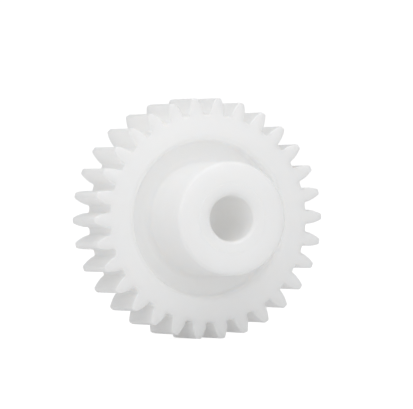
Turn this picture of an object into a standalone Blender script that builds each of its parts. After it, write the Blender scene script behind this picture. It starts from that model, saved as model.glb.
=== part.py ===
"""White moulded spur pinion with a hub on one side and a plain bore.

The pinion is one moulding. It is drawn lying down with its hub pointing up (local +Z),
then tipped onto its teeth, so that its bore runs along the world's Y axis and its hub
points towards -Y. The origin is on the bore's axis, in the plane of the rim's face on
the hub side, which is half way along the overall length.

The solid is a turned blank intersected with a toothed prism.
"""

import math

import bmesh
import bpy

MM = 0.001

# Teeth: standard full-depth involutes.
MODULE = 1.0 * MM
TEETH = 30
PRESSURE_ANGLE = math.radians(20.0)
ADDENDUM = 1.0 * MODULE
DEDENDUM = 1.25 * MODULE
ROOT_ROUND = 0.38 * MODULE
TIP_ROUND = 0.2 * MM
TOOTH_THINNING = 0.02 * MM
FACE_WIDTH = 9.0 * MM

# Hub and bore.
HUB_DIAMETER = 15.0 * MM
HUB_PROJECTION = 9.0 * MM
HUB_END_ROUND = 0.5 * MM
BORE_DIAMETER = 6.0 * MM
BORE_ROUND = 0.5 * MM

# The ring that the ejector sleeve leaves on the hub's end: inside it, the end is proud.
SLEEVE_MARK_DIAMETER = 9.1 * MM
SLEEVE_MARK_STEP = 0.06 * MM

# The recess between hub and rim, equally deep on both faces. The web between the two is as
# thick as the hub's wall. On the back the hub ends in a ring flush with the rim.
RECESS_DIAMETER = 20.8 * MM
WEB_THICKNESS = 4.5 * MM
FRONT_EDGE_ROUND = 0.7 * MM
BACK_EDGE_ROUND = 0.4 * MM
RECESS_CORNER_ROUND = 0.4 * MM
HUB_FOOT_ROUND = 0.8 * MM

# Mesh density.
TURNED_STEPS = 60
ARC_STEPS = 3
FLANK_STEPS = 5

MERGE_DISTANCE = 0.001 * MM
OVERRUN = 1.0 * MM  # how far the blank and the prism run past each other

PITCH_RADIUS = MODULE * TEETH / 2
BASE_RADIUS = PITCH_RADIUS * math.cos(PRESSURE_ANGLE)
TIP_RADIUS = PITCH_RADIUS + ADDENDUM
ROOT_RADIUS = PITCH_RADIUS - DEDENDUM
HUB_RADIUS = HUB_DIAMETER / 2
BORE_RADIUS = BORE_DIAMETER / 2
RECESS_RADIUS = RECESS_DIAMETER / 2
RECESS_DEPTH = (FACE_WIDTH - WEB_THICKNESS) / 2
OVERALL_LENGTH = FACE_WIDTH + HUB_PROJECTION

WHITE_ACETAL = (0.86, 0.86, 0.85, 1.0)
MOULDED_ROUGHNESS = 0.45


def clear_scene():
    for obj in list(bpy.data.objects):
        bpy.data.objects.remove(obj, do_unlink=True)


def new_collection(name):
    collection = bpy.data.collections.new(name)
    bpy.context.scene.collection.children.link(collection)
    return collection


def white_acetal():
    material = bpy.data.materials.new("white_acetal")
    material.use_nodes = True
    shader = material.node_tree.nodes["Principled BSDF"]
    shader.inputs["Base Color"].default_value = WHITE_ACETAL
    shader.inputs["Roughness"].default_value = MOULDED_ROUGHNESS
    shader.inputs["Metallic"].default_value = 0.0
    return material


# Plane geometry


def polar(radius, angle):
    return (radius * math.cos(angle), radius * math.sin(angle))


def arc(centre, radius, start_deg, end_deg):
    """Points along an arc, both ends included."""
    points = []
    for step in range(ARC_STEPS + 1):
        angle = math.radians(start_deg + (end_deg - start_deg) * step / ARC_STEPS)
        x, y = polar(radius, angle)
        points.append((centre[0] + x, centre[1] + y))
    return points


def rounded_corner(start, corner, end):
    """A curve from start to end that touches both sides of the corner between them."""
    points = []
    for step in range(ARC_STEPS + 1):
        t = step / ARC_STEPS
        x, y = (
            (1 - t) ** 2 * a + 2 * t * (1 - t) * b + t**2 * c
            for a, b, c in zip(start, corner, end)
        )
        points.append((x, y))
    return points


# Teeth


def involute(angle):
    return math.tan(angle) - angle


def half_tooth_angle(radius):
    """Angle between a tooth's middle and its flank, at a radius on the involute."""
    thickness = math.pi * MODULE / 2 - TOOTH_THINNING
    pressure = math.acos(min(1.0, BASE_RADIUS / radius))
    return thickness / (2 * PITCH_RADIUS) + involute(PRESSURE_ANGLE) - involute(pressure)


def half_tooth():
    """The outline from the middle of a gap, up one flank, to the tooth's top."""
    foot_angle = half_tooth_angle(BASE_RADIUS)
    foot_top = max(ROOT_RADIUS + ROOT_ROUND, BASE_RADIUS)
    tip_start = TIP_RADIUS - TIP_ROUND
    tip_angle = half_tooth_angle(TIP_RADIUS)
    root = rounded_corner(
        polar(ROOT_RADIUS, foot_angle + ROOT_ROUND / ROOT_RADIUS),
        polar(ROOT_RADIUS, foot_angle),
        polar(foot_top, half_tooth_angle(foot_top)),
    )
    flank = []
    for step in range(1, FLANK_STEPS):
        radius = foot_top + (tip_start - foot_top) * step / FLANK_STEPS
        flank.append(polar(radius, half_tooth_angle(radius)))
    tip = rounded_corner(
        polar(tip_start, half_tooth_angle(tip_start)),
        polar(TIP_RADIUS, tip_angle),
        polar(TIP_RADIUS, tip_angle - TIP_ROUND / TIP_RADIUS),
    )
    return [polar(ROOT_RADIUS, math.pi / TEETH)] + root + flank + tip


def toothed_outline():
    """All the teeth, anticlockwise, the first one on the +X axis."""
    upper_half = half_tooth()
    tooth = [(x, -y) for x, y in upper_half] + upper_half[:0:-1]
    outline = []
    for index in range(TEETH):
        angle = 2 * math.pi * index / TEETH
        cos, sin = math.cos(angle), math.sin(angle)
        outline += [(x * cos - y * sin, x * sin + y * cos) for x, y in tooth]
    return outline


def toothed_prism(collection, parent):
    """The toothed outline, extruded past both ends of the pinion."""
    curve = bpy.data.curves.new("toothed_outline", "CURVE")
    curve.dimensions = "2D"
    curve.fill_mode = "BOTH"
    curve.extrude = OVERALL_LENGTH / 2 + OVERRUN
    outline = toothed_outline()
    spline = curve.splines.new("POLY")
    spline.points.add(len(outline) - 1)
    for point, (x, y) in zip(spline.points, outline):
        point.co = (x, y, 0.0, 1.0)
    spline.use_cyclic_u = True
    drawn = bpy.data.objects.new("toothed_outline", curve)
    collection.objects.link(drawn)
    drawn.parent = parent
    drawn.location = (0.0, 0.0, (HUB_PROJECTION - FACE_WIDTH) / 2)

    graph = bpy.context.evaluated_depsgraph_get()
    mesh = bpy.data.meshes.new_from_object(drawn.evaluated_get(graph))
    shape = bmesh.new()
    shape.from_mesh(mesh)
    bmesh.ops.remove_doubles(shape, verts=shape.verts, dist=MERGE_DISTANCE)
    bmesh.ops.recalc_face_normals(shape, faces=shape.faces)
    shape.to_mesh(mesh)
    shape.free()

    prism = bpy.data.objects.new("toothed_prism", mesh)
    collection.objects.link(prism)
    prism.matrix_world = drawn.matrix_world
    prism.hide_render = True
    prism.display_type = "WIRE"
    bpy.data.objects.remove(drawn, do_unlink=True)
    return prism


# Turned blank: profiles are (radius, z), running down the blank's outer side.


def recess(edge_round):
    """The recess from the rim to the hub's foot, as (radius, distance below the rim)."""
    edge = arc((RECESS_RADIUS + edge_round, edge_round), edge_round, -90, -180)
    corner_depth = RECESS_DEPTH - RECESS_CORNER_ROUND
    corner = arc((RECESS_RADIUS - RECESS_CORNER_ROUND, corner_depth), RECESS_CORNER_ROUND, 0, 90)
    foot_depth = RECESS_DEPTH - HUB_FOOT_ROUND
    foot = arc((HUB_RADIUS + HUB_FOOT_ROUND, foot_depth), HUB_FOOT_ROUND, 90, 180)
    return edge + corner + foot


def hub_end():
    """The hub's end, from the bore's mouth out to the hub's side."""
    mark_radius = SLEEVE_MARK_DIAMETER / 2
    shoulder_z = HUB_PROJECTION - SLEEVE_MARK_STEP
    mouth = arc((BORE_RADIUS + BORE_ROUND, HUB_PROJECTION - BORE_ROUND), BORE_ROUND, 180, 90)
    mark = [(mark_radius, HUB_PROJECTION), (mark_radius + SLEEVE_MARK_STEP, shoulder_z)]
    edge = arc((HUB_RADIUS - HUB_END_ROUND, shoulder_z - HUB_END_ROUND), HUB_END_ROUND, 90, 0)
    return mouth + mark + edge


def back_ring():
    """The hub's flush ring on the back, from its outer edge in to the bore."""
    edge = arc((HUB_RADIUS - BACK_EDGE_ROUND, BACK_EDGE_ROUND - FACE_WIDTH), BACK_EDGE_ROUND, 0, -90)
    mouth = arc((BORE_RADIUS + BORE_ROUND, BORE_ROUND - FACE_WIDTH), BORE_ROUND, 270, 180)
    return edge + mouth


def blank_profile():
    rim_radius = TIP_RADIUS + OVERRUN
    rim = [(rim_radius, 0.0), (rim_radius, -FACE_WIDTH)]
    front_recess = [(radius, -depth) for radius, depth in recess(FRONT_EDGE_ROUND)]
    back_recess = [(radius, depth - FACE_WIDTH) for radius, depth in recess(BACK_EDGE_ROUND)]
    return hub_end() + front_recess[::-1] + rim + back_recess + back_ring()


def turned_blank(collection, parent):
    mesh = bpy.data.meshes.new("pinion")
    shape = bmesh.new()
    section = [shape.verts.new((radius, 0.0, z)) for radius, z in blank_profile()]
    for vert, following in zip(section, section[1:] + section[:1]):
        shape.edges.new((vert, following))
    shape.to_mesh(mesh)
    shape.free()
    blank = bpy.data.objects.new("pinion", mesh)
    collection.objects.link(blank)
    blank.parent = parent
    turn = blank.modifiers.new("Turn", "SCREW")
    turn.axis = "Z"
    turn.angle = 2 * math.pi
    turn.steps = TURNED_STEPS
    turn.render_steps = TURNED_STEPS
    turn.use_merge_vertices = True
    turn.merge_threshold = MERGE_DISTANCE
    return blank


def build():
    clear_scene()
    parts = new_collection("spur_pinion")
    cutters = new_collection("cutters")

    bore_axis = bpy.data.objects.new("bore_axis", None)
    parts.objects.link(bore_axis)
    bore_axis.rotation_euler = (math.radians(90.0), 0.0, 0.0)
    bpy.context.view_layer.update()

    pinion = turned_blank(parts, bore_axis)
    teeth = pinion.modifiers.new("Teeth", "BOOLEAN")
    teeth.operation = "INTERSECT"
    teeth.solver = "EXACT"
    teeth.object = toothed_prism(cutters, bore_axis)
    pinion.data.materials.append(white_acetal())


build()
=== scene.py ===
"""The looks of the moulded spur pinion: its fine surface, its plastic, and a white studio.

Gear coordinates, used to build the surface: x and y lie across the gear, z runs along the
bore towards the hub's end, and z = 0 is the rim's face on the hub side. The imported
model's frame has the same x, with its Y against the gear's z and its Z along the gear's y.
"""

import math

import bmesh
import bpy
from mathutils import Matrix, Vector

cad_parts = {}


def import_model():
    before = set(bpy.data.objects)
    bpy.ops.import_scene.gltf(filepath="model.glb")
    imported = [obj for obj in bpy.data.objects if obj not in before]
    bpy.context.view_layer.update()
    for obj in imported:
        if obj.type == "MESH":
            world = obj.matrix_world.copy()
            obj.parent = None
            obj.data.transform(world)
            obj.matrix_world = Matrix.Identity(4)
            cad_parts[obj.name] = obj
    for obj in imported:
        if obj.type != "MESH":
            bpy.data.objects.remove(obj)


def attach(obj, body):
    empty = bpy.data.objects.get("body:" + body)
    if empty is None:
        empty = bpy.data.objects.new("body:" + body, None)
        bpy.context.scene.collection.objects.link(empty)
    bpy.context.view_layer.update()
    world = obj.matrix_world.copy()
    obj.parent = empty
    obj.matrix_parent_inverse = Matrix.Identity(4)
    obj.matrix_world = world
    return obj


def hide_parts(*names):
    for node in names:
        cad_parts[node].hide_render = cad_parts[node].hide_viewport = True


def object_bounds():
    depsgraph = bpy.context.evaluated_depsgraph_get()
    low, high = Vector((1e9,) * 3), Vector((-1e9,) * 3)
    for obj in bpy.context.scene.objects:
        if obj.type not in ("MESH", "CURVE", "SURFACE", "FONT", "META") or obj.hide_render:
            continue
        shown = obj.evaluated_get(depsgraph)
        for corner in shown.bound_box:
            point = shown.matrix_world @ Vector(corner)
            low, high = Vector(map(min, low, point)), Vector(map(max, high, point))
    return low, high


MM = 0.001
MICRON = 0.001 * MM

# Teeth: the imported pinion's involutes, with their ends rounded by the mould's polish.
MODULE = 1.0 * MM
TEETH = 30
PRESSURE_ANGLE = math.radians(20.0)
ADDENDUM = 1.0 * MODULE
DEDENDUM = 1.25 * MODULE
ROOT_ROUND = 0.38 * MODULE
TIP_ROUND = 0.2 * MM
TOOTH_THINNING = 0.02 * MM
TOOTH_END_ROUND = 0.14 * MM
FACE_WIDTH = 9.0 * MM

# Hub and bore.
HUB_RADIUS = 7.5 * MM
HUB_PROJECTION = 9.0 * MM
HUB_END_ROUND = 0.5 * MM
BORE_RADIUS = 3.0 * MM
BORE_ROUND = 0.5 * MM
SLEEVE_MARK_RADIUS = 4.55 * MM
SLEEVE_MARK_STEP = 0.06 * MM
SLEEVE_MARK_ROUND = 0.03 * MM

# Recesses between hub and rim, equally deep on both faces, with the web between them.
RECESS_RADIUS = 10.4 * MM
WEB_THICKNESS = 4.5 * MM
FRONT_EDGE_ROUND = 0.7 * MM
BACK_EDGE_ROUND = 0.4 * MM
RECESS_CORNER_ROUND = 0.4 * MM
HUB_FOOT_ROUND = 0.8 * MM

# What the mould's pin gates leave on the back of the web: a dimple with a pip in it.
GATES = 3
FIRST_GATE = 0.25  # how far round from the x axis, as part of the step between two gates
GATE_CIRCLE_RADIUS = 9.15 * MM
DIMPLE_RADIUS = 0.8 * MM
DIMPLE_DEPTH = 0.15 * MM
PIP_RADIUS = 0.45 * MM
PIP_HEIGHT = 0.2 * MM
GATE_EDGE = 0.25 * MM  # how wide the slopes of the dimple and the pip are

# Mesh density.
ARC_STEPS = 8
FLANK_STEPS = 10
END_STEPS = 5
TURNED_COLUMNS = 360
WEB_STEPS = 24
RIM_BAND = (13.2 * MM, 12.6 * MM)  # where the toothed part meets the turned part
SUPPORT = 0.03 * MM  # how close to a rounded edge the flat beside it gets its own points

PITCH_RADIUS = MODULE * TEETH / 2
BASE_RADIUS = PITCH_RADIUS * math.cos(PRESSURE_ANGLE)
TIP_RADIUS = PITCH_RADIUS + ADDENDUM
ROOT_RADIUS = PITCH_RADIUS - DEDENDUM
RECESS_DEPTH = (FACE_WIDTH - WEB_THICKNESS) / 2
BACK_WEB_Z = -RECESS_DEPTH - WEB_THICKNESS

# Acetal.
ACETAL_IOR = 1.48
SCATTER_DEPTH = 6.0 * MM
SCATTER_BY_COLOUR = (1.0, 0.95, 0.9)  # how far red, green and blue go, against that depth
ROUGHNESS = 0.3
SHEEN = (0.42, 0.58)  # how strongly the surface reflects, where 0.5 is what its IOR gives
MILKY = (0.975, 0.975, 0.970, 1.0)
CLEARER = (0.960, 0.960, 0.953, 1.0)

# Its noise textures: the size of their lumps, and how many finer layers they hold.
WAVE_SIZE = 3.0 * MM
WAVE_DETAIL = 0.0
WAVE_HEIGHT = 0.012 * MM
SHEEN_PATCH_SIZE = 1.2 * MM
SHEEN_DETAIL = 4.0
STREAK_SIZE = 4.0 * MM
STREAK_DETAIL = 5.0
STREAK_SWIRL = 1.5
NOISE_RANGE = (0.3, 0.7)  # nearly all of a noise texture's values lie between these

# Camera: where it looks from, round the middle of the rim's hub-side face.
CAMERA_AZIMUTH = math.radians(-20.0)
CAMERA_ELEVATION = math.radians(0.26)
CAMERA_ROLL = math.radians(-0.88)
CAMERA_DISTANCE = 800 * MM
VIEW_WIDTH = 54.68 * MM  # what the picture spans at that distance
VIEW_OFFSET = (-0.30 * MM, 1.85 * MM)  # how far right and up the picture's middle is
VIEW_LIMIT = 10.0  # metres

# Studio. The floor and the backdrop are white to the camera and greyer to everything else.
WHITE = (1.0, 1.0, 1.0, 1.0)
SKY = 0.54
BACKDROP = 1.05
FLOOR_RADIUS = 3.0  # metres
FLOOR_SEGMENTS = 96
FLOOR_ROUGHNESS = 0.9
FLOOR_SEEN = {"albedo": 0.25, "glow": 0.83}
FLOOR_LIGHTING = {"albedo": 0.5, "glow": 0.22}
LIGHT_BOUNCES = 16  # a white cavity stays bright through many bounces
SOFTBOX_SPREAD = math.radians(50.0)  # how wide each softbox is in the sky
SOFTBOXES = (  # name, azimuth and elevation in degrees, strength
    ("key_front", 0, 55, 0.45),
    ("key_left", -60, 55, 0.41),
    ("key_back", 180, 55, 0.23),
    ("fill_front", 0, 15, 0.20),
    ("fill_left", -45, 15, 0.27),
    ("fill_right", 45, 15, 0.13),
)


# Outlines


def polar(radius, angle):
    return Vector((radius * math.cos(angle), radius * math.sin(angle)))


def rounded(corners):
    """A polyline through (x, y, radius) corners, each turned into an arc of its radius.

    The straight stretches get extra points next to their arcs, so that the smooth shading
    of an arc doesn't spread over the flat beside it.
    """
    points = [Vector(corners[0][:2])]
    for before, corner, after in zip(corners, corners[1:], corners[2:]):
        here = Vector(corner[:2])
        inwards = (Vector(before[:2]) - here).normalized()
        onwards = (Vector(after[:2]) - here).normalized()
        half_angle = inwards.angle(onwards) / 2
        radius = corner[2]
        reach = radius / math.tan(half_angle)
        centre = here + (inwards + onwards).normalized() * radius / math.sin(half_angle)
        first, last = here + inwards * reach, here + onwards * reach
        points.append(first + inwards * SUPPORT)
        sweep = -(first - centre).angle_signed(last - centre)
        for step in range(ARC_STEPS + 1):
            turn = Matrix.Rotation(sweep * step / ARC_STEPS, 2)
            points.append(centre + turn @ (first - centre))
        points.append(last + onwards * SUPPORT)
    points.append(Vector(corners[-1][:2]))
    return points


def involute(angle):
    return math.tan(angle) - angle


def half_tooth_angle(radius):
    """Angle between a tooth's middle and its flank, at a radius on the involute."""
    thickness = math.pi * MODULE / 2 - TOOTH_THINNING
    pressure = math.acos(min(1.0, BASE_RADIUS / radius))
    return thickness / (2 * PITCH_RADIUS) + involute(PRESSURE_ANGLE) - involute(pressure)


def rounded_corner(start, corner, end):
    """A curve from start to end that touches both sides of the corner between them."""
    points = []
    for step in range(ARC_STEPS + 1):
        t = step / ARC_STEPS
        points.append((1 - t) ** 2 * start + 2 * t * (1 - t) * corner + t**2 * end)
    return points


def half_tooth():
    """The outline from the middle of a gap, up one flank, to the tooth's top."""
    foot_angle = half_tooth_angle(BASE_RADIUS)
    foot_top = max(ROOT_RADIUS + ROOT_ROUND, BASE_RADIUS)
    tip_start = TIP_RADIUS - TIP_ROUND
    tip_angle = half_tooth_angle(TIP_RADIUS)
    land_angle = tip_angle - TIP_ROUND / TIP_RADIUS
    root = rounded_corner(
        polar(ROOT_RADIUS, foot_angle + ROOT_ROUND / ROOT_RADIUS),
        polar(ROOT_RADIUS, foot_angle),
        polar(foot_top, half_tooth_angle(foot_top)),
    )
    flank = []
    for step in range(1, FLANK_STEPS):
        radius = foot_top + (tip_start - foot_top) * step / FLANK_STEPS
        flank.append(polar(radius, half_tooth_angle(radius)))
    tip = rounded_corner(
        polar(tip_start, half_tooth_angle(tip_start)),
        polar(TIP_RADIUS, tip_angle),
        polar(TIP_RADIUS, land_angle),
    )
    land = polar(TIP_RADIUS, land_angle - SUPPORT / TIP_RADIUS)
    return [polar(ROOT_RADIUS, math.pi / TEETH)] + root + flank + tip + [land]


def toothed_outline():
    """All the teeth, anticlockwise, the first one on the x axis."""
    upper_half = half_tooth()
    lower_half = [Vector((p.x, -p.y)) for p in upper_half]
    tooth = lower_half + upper_half[:0:-1]
    outline = []
    for index in range(TEETH):
        turn = Matrix.Rotation(2 * math.pi * index / TEETH, 2)
        outline += [turn @ point for point in tooth]
    return outline


def turned_profile():
    """Half a section through the bore as (radius, z), from the front of the rim, over the hub
    and down the bore, to the back of the rim."""
    shoulder_z = HUB_PROJECTION - SLEEVE_MARK_STEP
    back_z = -FACE_WIDTH
    return rounded(
        [
            (RIM_BAND[1], 0.0, 0.0),
            (RECESS_RADIUS, 0.0, FRONT_EDGE_ROUND),
            (RECESS_RADIUS, -RECESS_DEPTH, RECESS_CORNER_ROUND),
            (HUB_RADIUS, -RECESS_DEPTH, HUB_FOOT_ROUND),
            (HUB_RADIUS, shoulder_z, HUB_END_ROUND),
            (SLEEVE_MARK_RADIUS + SLEEVE_MARK_STEP, shoulder_z, SLEEVE_MARK_ROUND),
            (SLEEVE_MARK_RADIUS, HUB_PROJECTION, SLEEVE_MARK_ROUND),
            (BORE_RADIUS, HUB_PROJECTION, BORE_ROUND),
            (BORE_RADIUS, back_z, BORE_ROUND),
            (HUB_RADIUS, back_z, BACK_EDGE_ROUND),
            (HUB_RADIUS, BACK_WEB_Z, HUB_FOOT_ROUND),
            (RECESS_RADIUS, BACK_WEB_Z, RECESS_CORNER_ROUND),
            (RECESS_RADIUS, back_z, BACK_EDGE_ROUND),
            (RIM_BAND[1], back_z, 0.0),
        ]
    )


def smooth_step(value, low, high):
    t = min(1.0, max(0.0, (value - low) / (high - low)))
    return t * t * (3 - 2 * t)


def on_back_web(z):
    return abs(z - BACK_WEB_Z) < MICRON


def gate_relief(point):
    """How far the back of the web stands proud at a point: less than 0 in a dimple."""
    height = 0.0
    for index in range(GATES):
        centre = polar(GATE_CIRCLE_RADIUS, 2 * math.pi * (index + FIRST_GATE) / GATES)
        distance = (point - centre).length
        outside_dimple = smooth_step(distance, DIMPLE_RADIUS - GATE_EDGE, DIMPLE_RADIUS)
        outside_pip = smooth_step(distance, PIP_RADIUS - GATE_EDGE, PIP_RADIUS)
        height += PIP_HEIGHT * (1 - outside_pip) - DIMPLE_DEPTH * (1 - outside_dimple)
    return height


# Surface


def to_frame(x, y, z):
    return (x, -z, y)


def add_ring(shape, points, z):
    return [shape.verts.new(to_frame(p.x, p.y, z)) for p in points]


def add_circle(shape, radius, z):
    """A ring of the turned part. On the back of the web it follows the gates' marks."""
    ring = []
    for column in range(TURNED_COLUMNS):
        point = polar(radius, 2 * math.pi * column / TURNED_COLUMNS)
        proud = gate_relief(point) if on_back_web(z) else 0.0
        ring.append(shape.verts.new(to_frame(point.x, point.y, z - proud)))
    return ring


def join_rings(shape, first, second):
    """Quads between two rings with the same number of points."""
    count = len(first)
    for i in range(count):
        j = (i + 1) % count
        shape.faces.new((first[i], first[j], second[j], second[i]))


def bridge_rings(shape, rings):
    """Triangles between two rings with different numbers of points, on a flat face."""
    edges = []
    for ring in rings:
        for a, b in zip(ring, ring[1:] + ring[:1]):
            edges.append(shape.edges.get((a, b)))
    bmesh.ops.bridge_loops(shape, edges=edges)


def inward_normals(outline):
    normals = []
    for i, point in enumerate(outline):
        before = (point - outline[i - 1]).normalized()
        after = (outline[(i + 1) % len(outline)] - point).normalized()
        along = (before + after).normalized()
        normals.append(Vector((-along.y, along.x)))
    return normals


def toothed_rings(shape):
    """The teeth, from the front of the rim to its back. Returns the first and last rings."""
    outline = toothed_outline()
    normals = inward_normals(outline)
    collar = [point.normalized() * RIM_BAND[0] for point in outline]
    end = [(TOOTH_END_ROUND + SUPPORT, 0.0)]
    for step in range(END_STEPS + 1):
        angle = math.pi / 2 * step / END_STEPS
        inset = TOOTH_END_ROUND * (1 - math.sin(angle))
        depth = TOOTH_END_ROUND * (1 - math.cos(angle))
        end.append((inset, depth))
    end.append((0.0, TOOTH_END_ROUND + SUPPORT))
    front_end = [(inset, -depth) for inset, depth in end]
    back_end = [(inset, depth - FACE_WIDTH) for inset, depth in reversed(end)]
    rings = [add_ring(shape, collar, 0.0)]
    for inset, z in front_end + back_end:
        ring = [p + n * inset for p, n in zip(outline, normals)]
        rings.append(add_ring(shape, ring, z))
    rings.append(add_ring(shape, collar, -FACE_WIDTH))
    for first, second in zip(rings, rings[1:]):
        join_rings(shape, first, second)
    return rings[0], rings[-1]


def turned_rings(shape):
    """Recesses, hub and bore. Returns the rings at the front and the back of the rim."""
    profile = turned_profile()
    rings = []
    for section, following in zip(profile, profile[1:]):
        crosses_web = on_back_web(section.y) and on_back_web(following.y)
        steps = WEB_STEPS if crosses_web and (following - section).length > GATE_EDGE else 1
        for step in range(steps):
            radius, z = section.lerp(following, step / steps)
            rings.append(add_circle(shape, radius, z))
    rings.append(add_circle(shape, *profile[-1]))
    for first, second in zip(rings, rings[1:]):
        join_rings(shape, second, first)
    return rings[0], rings[-1]


def pinion_surface():
    shape = bmesh.new()
    toothed_front, toothed_back = toothed_rings(shape)
    turned_front, turned_back = turned_rings(shape)
    bridge_rings(shape, (toothed_front, turned_front))
    bridge_rings(shape, (toothed_back, turned_back))
    bmesh.ops.recalc_face_normals(shape, faces=shape.faces)
    mesh = bpy.data.meshes.new("moulded_pinion")
    shape.to_mesh(mesh)
    shape.free()
    mesh.shade_smooth()
    pinion = bpy.data.objects.new("moulded_pinion", mesh)
    bpy.context.scene.collection.objects.link(pinion)
    return pinion


# Materials


def noise(nodes, links, size, detail):
    """A noise texture in the object's own coordinates, with lumps of about the given size."""
    place = nodes.new("ShaderNodeTexCoord")
    texture = nodes.new("ShaderNodeTexNoise")
    texture.inputs["Scale"].default_value = 1 / size
    texture.inputs["Detail"].default_value = detail
    links.new(place.outputs["Object"], texture.inputs["Vector"])
    return texture


def spread(nodes, links, texture, low, high):
    """The texture's usual values spread from low to high."""
    spreading = nodes.new("ShaderNodeMapRange")
    spreading.inputs["From Min"].default_value = NOISE_RANGE[0]
    spreading.inputs["From Max"].default_value = NOISE_RANGE[1]
    spreading.inputs["To Min"].default_value = low
    spreading.inputs["To Max"].default_value = high
    links.new(texture.outputs["Fac"], spreading.inputs["Value"])
    return spreading.outputs["Result"]


def white_acetal():
    """Natural white acetal: light goes deep into it, so edges glow and cavities stay bright.

    The mould leaves it satin, a little shinier in patches, and the plastic's shrinking
    leaves it very slightly wavy. Milkier and clearer streaks run through it.
    """
    material = bpy.data.materials.new("white_acetal")
    material.use_nodes = True
    nodes, links = material.node_tree.nodes, material.node_tree.links
    shader = nodes["Principled BSDF"]
    shader.inputs["IOR"].default_value = ACETAL_IOR
    shader.inputs["Roughness"].default_value = ROUGHNESS
    shader.inputs["Subsurface Weight"].default_value = 1.0
    shader.inputs["Subsurface Radius"].default_value = SCATTER_BY_COLOUR
    shader.inputs["Subsurface Scale"].default_value = SCATTER_DEPTH

    waves = noise(nodes, links, WAVE_SIZE, WAVE_DETAIL)
    bump = nodes.new("ShaderNodeBump")
    bump.inputs["Distance"].default_value = WAVE_HEIGHT
    links.new(waves.outputs["Fac"], bump.inputs["Height"])
    links.new(bump.outputs["Normal"], shader.inputs["Normal"])

    sheen = noise(nodes, links, SHEEN_PATCH_SIZE, SHEEN_DETAIL)
    links.new(spread(nodes, links, sheen, *SHEEN), shader.inputs["Specular IOR Level"])

    streaks = noise(nodes, links, STREAK_SIZE, STREAK_DETAIL)
    streaks.inputs["Distortion"].default_value = STREAK_SWIRL
    colour = nodes.new("ShaderNodeValToRGB")
    colour.color_ramp.elements[0].color = MILKY
    colour.color_ramp.elements[1].color = CLEARER
    links.new(spread(nodes, links, streaks, 0.0, 1.0), colour.inputs["Fac"])
    links.new(colour.outputs["Color"], shader.inputs["Base Color"])
    return material


# Studio


def show_camera(nodes, links, seen, lighting, output):
    """Gives the camera one shader, and every other ray another."""
    rays = nodes.new("ShaderNodeLightPath")
    mix = nodes.new("ShaderNodeMixShader")
    links.new(rays.outputs["Is Camera Ray"], mix.inputs["Fac"])
    links.new(lighting, mix.inputs[1])
    links.new(seen, mix.inputs[2])
    links.new(mix.outputs["Shader"], output.inputs["Surface"])


def glowing_white(nodes, albedo, glow):
    shader = nodes.new("ShaderNodeBsdfPrincipled")
    shader.inputs["Base Color"].default_value = (albedo, albedo, albedo, 1.0)
    shader.inputs["Roughness"].default_value = FLOOR_ROUGHNESS
    shader.inputs["Emission Color"].default_value = WHITE
    shader.inputs["Emission Strength"].default_value = glow
    return shader.outputs["BSDF"]


def plain_floor(lowest_z):
    """A plain floor that the gear stands on, with only a faint contact shadow."""
    mesh = bpy.data.meshes.new("floor")
    shape = bmesh.new()
    bmesh.ops.create_circle(
        shape, cap_ends=True, segments=FLOOR_SEGMENTS, radius=FLOOR_RADIUS
    )
    shape.to_mesh(mesh)
    shape.free()
    floor = bpy.data.objects.new("floor", mesh)
    bpy.context.scene.collection.objects.link(floor)
    floor.location = (0.0, 0.0, lowest_z)
    material = bpy.data.materials.new("floor_white")
    material.use_nodes = True
    nodes, links = material.node_tree.nodes, material.node_tree.links
    nodes.remove(nodes["Principled BSDF"])
    seen = glowing_white(nodes, **FLOOR_SEEN)
    lighting = glowing_white(nodes, **FLOOR_LIGHTING)
    show_camera(nodes, links, seen, lighting, nodes["Material Output"])
    mesh.materials.append(material)


def direction(azimuth, elevation):
    """Unit vector from the gear towards a viewer; azimuth 0 is on the hub's side."""
    across = math.cos(elevation)
    return Vector(
        (math.sin(azimuth) * across, -math.cos(azimuth) * across, math.sin(elevation))
    )


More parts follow.
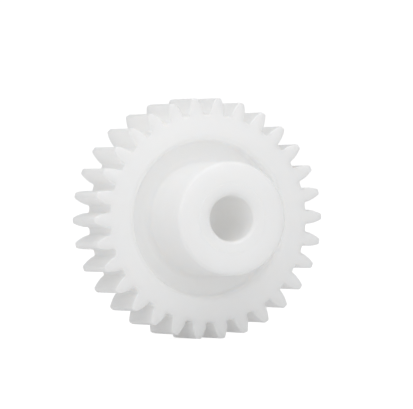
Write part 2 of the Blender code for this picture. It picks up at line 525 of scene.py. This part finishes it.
def soft_light(name, azimuth, elevation, strength):
    """Light from a large round softbox, in a direction given in degrees."""
    light = bpy.data.lights.new(name, "SUN")
    light.angle = SOFTBOX_SPREAD
    light.energy = strength
    lamp = bpy.data.objects.new(name, light)
    bpy.context.scene.collection.objects.link(lamp)
    back = direction(math.radians(azimuth), math.radians(elevation))
    lamp.rotation_euler = (-back).to_track_quat("-Z", "Y").to_euler()


def white_world():
    world = bpy.data.worlds.new("studio")
    bpy.context.scene.world = world
    world.use_nodes = True
    nodes, links = world.node_tree.nodes, world.node_tree.links
    light, backdrop = nodes["Background"], nodes.new("ShaderNodeBackground")
    for background, strength in ((light, SKY), (backdrop, BACKDROP)):
        background.inputs["Color"].default_value = WHITE
        background.inputs["Strength"].default_value = strength
    seen, lighting = backdrop.outputs["Background"], light.outputs["Background"]
    show_camera(nodes, links, seen, lighting, nodes["World Output"])


def camera():
    lens = bpy.data.cameras.new("camera")
    lens.lens = lens.sensor_width * CAMERA_DISTANCE / VIEW_WIDTH
    lens.clip_end = VIEW_LIMIT
    eye = bpy.data.objects.new("camera", lens)
    bpy.context.scene.collection.objects.link(eye)
    back = direction(CAMERA_AZIMUTH, CAMERA_ELEVATION)
    level = (-back).to_track_quat("-Z", "Y").to_matrix().to_4x4()
    turned = level @ Matrix.Rotation(CAMERA_ROLL, 4, "Z")
    target = turned @ Vector((VIEW_OFFSET[0], VIEW_OFFSET[1], 0.0))
    eye.matrix_world = Matrix.Translation(target + back * CAMERA_DISTANCE) @ turned
    bpy.context.scene.camera = eye


def main():
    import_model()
    cad_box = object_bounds()
    camera()
    pinion = pinion_surface()
    pinion.data.materials.append(white_acetal())
    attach(pinion, "root")
    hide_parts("pinion")

    plain_floor(cad_box[0].z)
    white_world()
    for softbox in SOFTBOXES:
        soft_light(*softbox)
    scene = bpy.context.scene
    scene.view_settings.view_transform = "Standard"
    scene.cycles.max_bounces = LIGHT_BOUNCES
    scene.cycles.diffuse_bounces = LIGHT_BOUNCES


main()
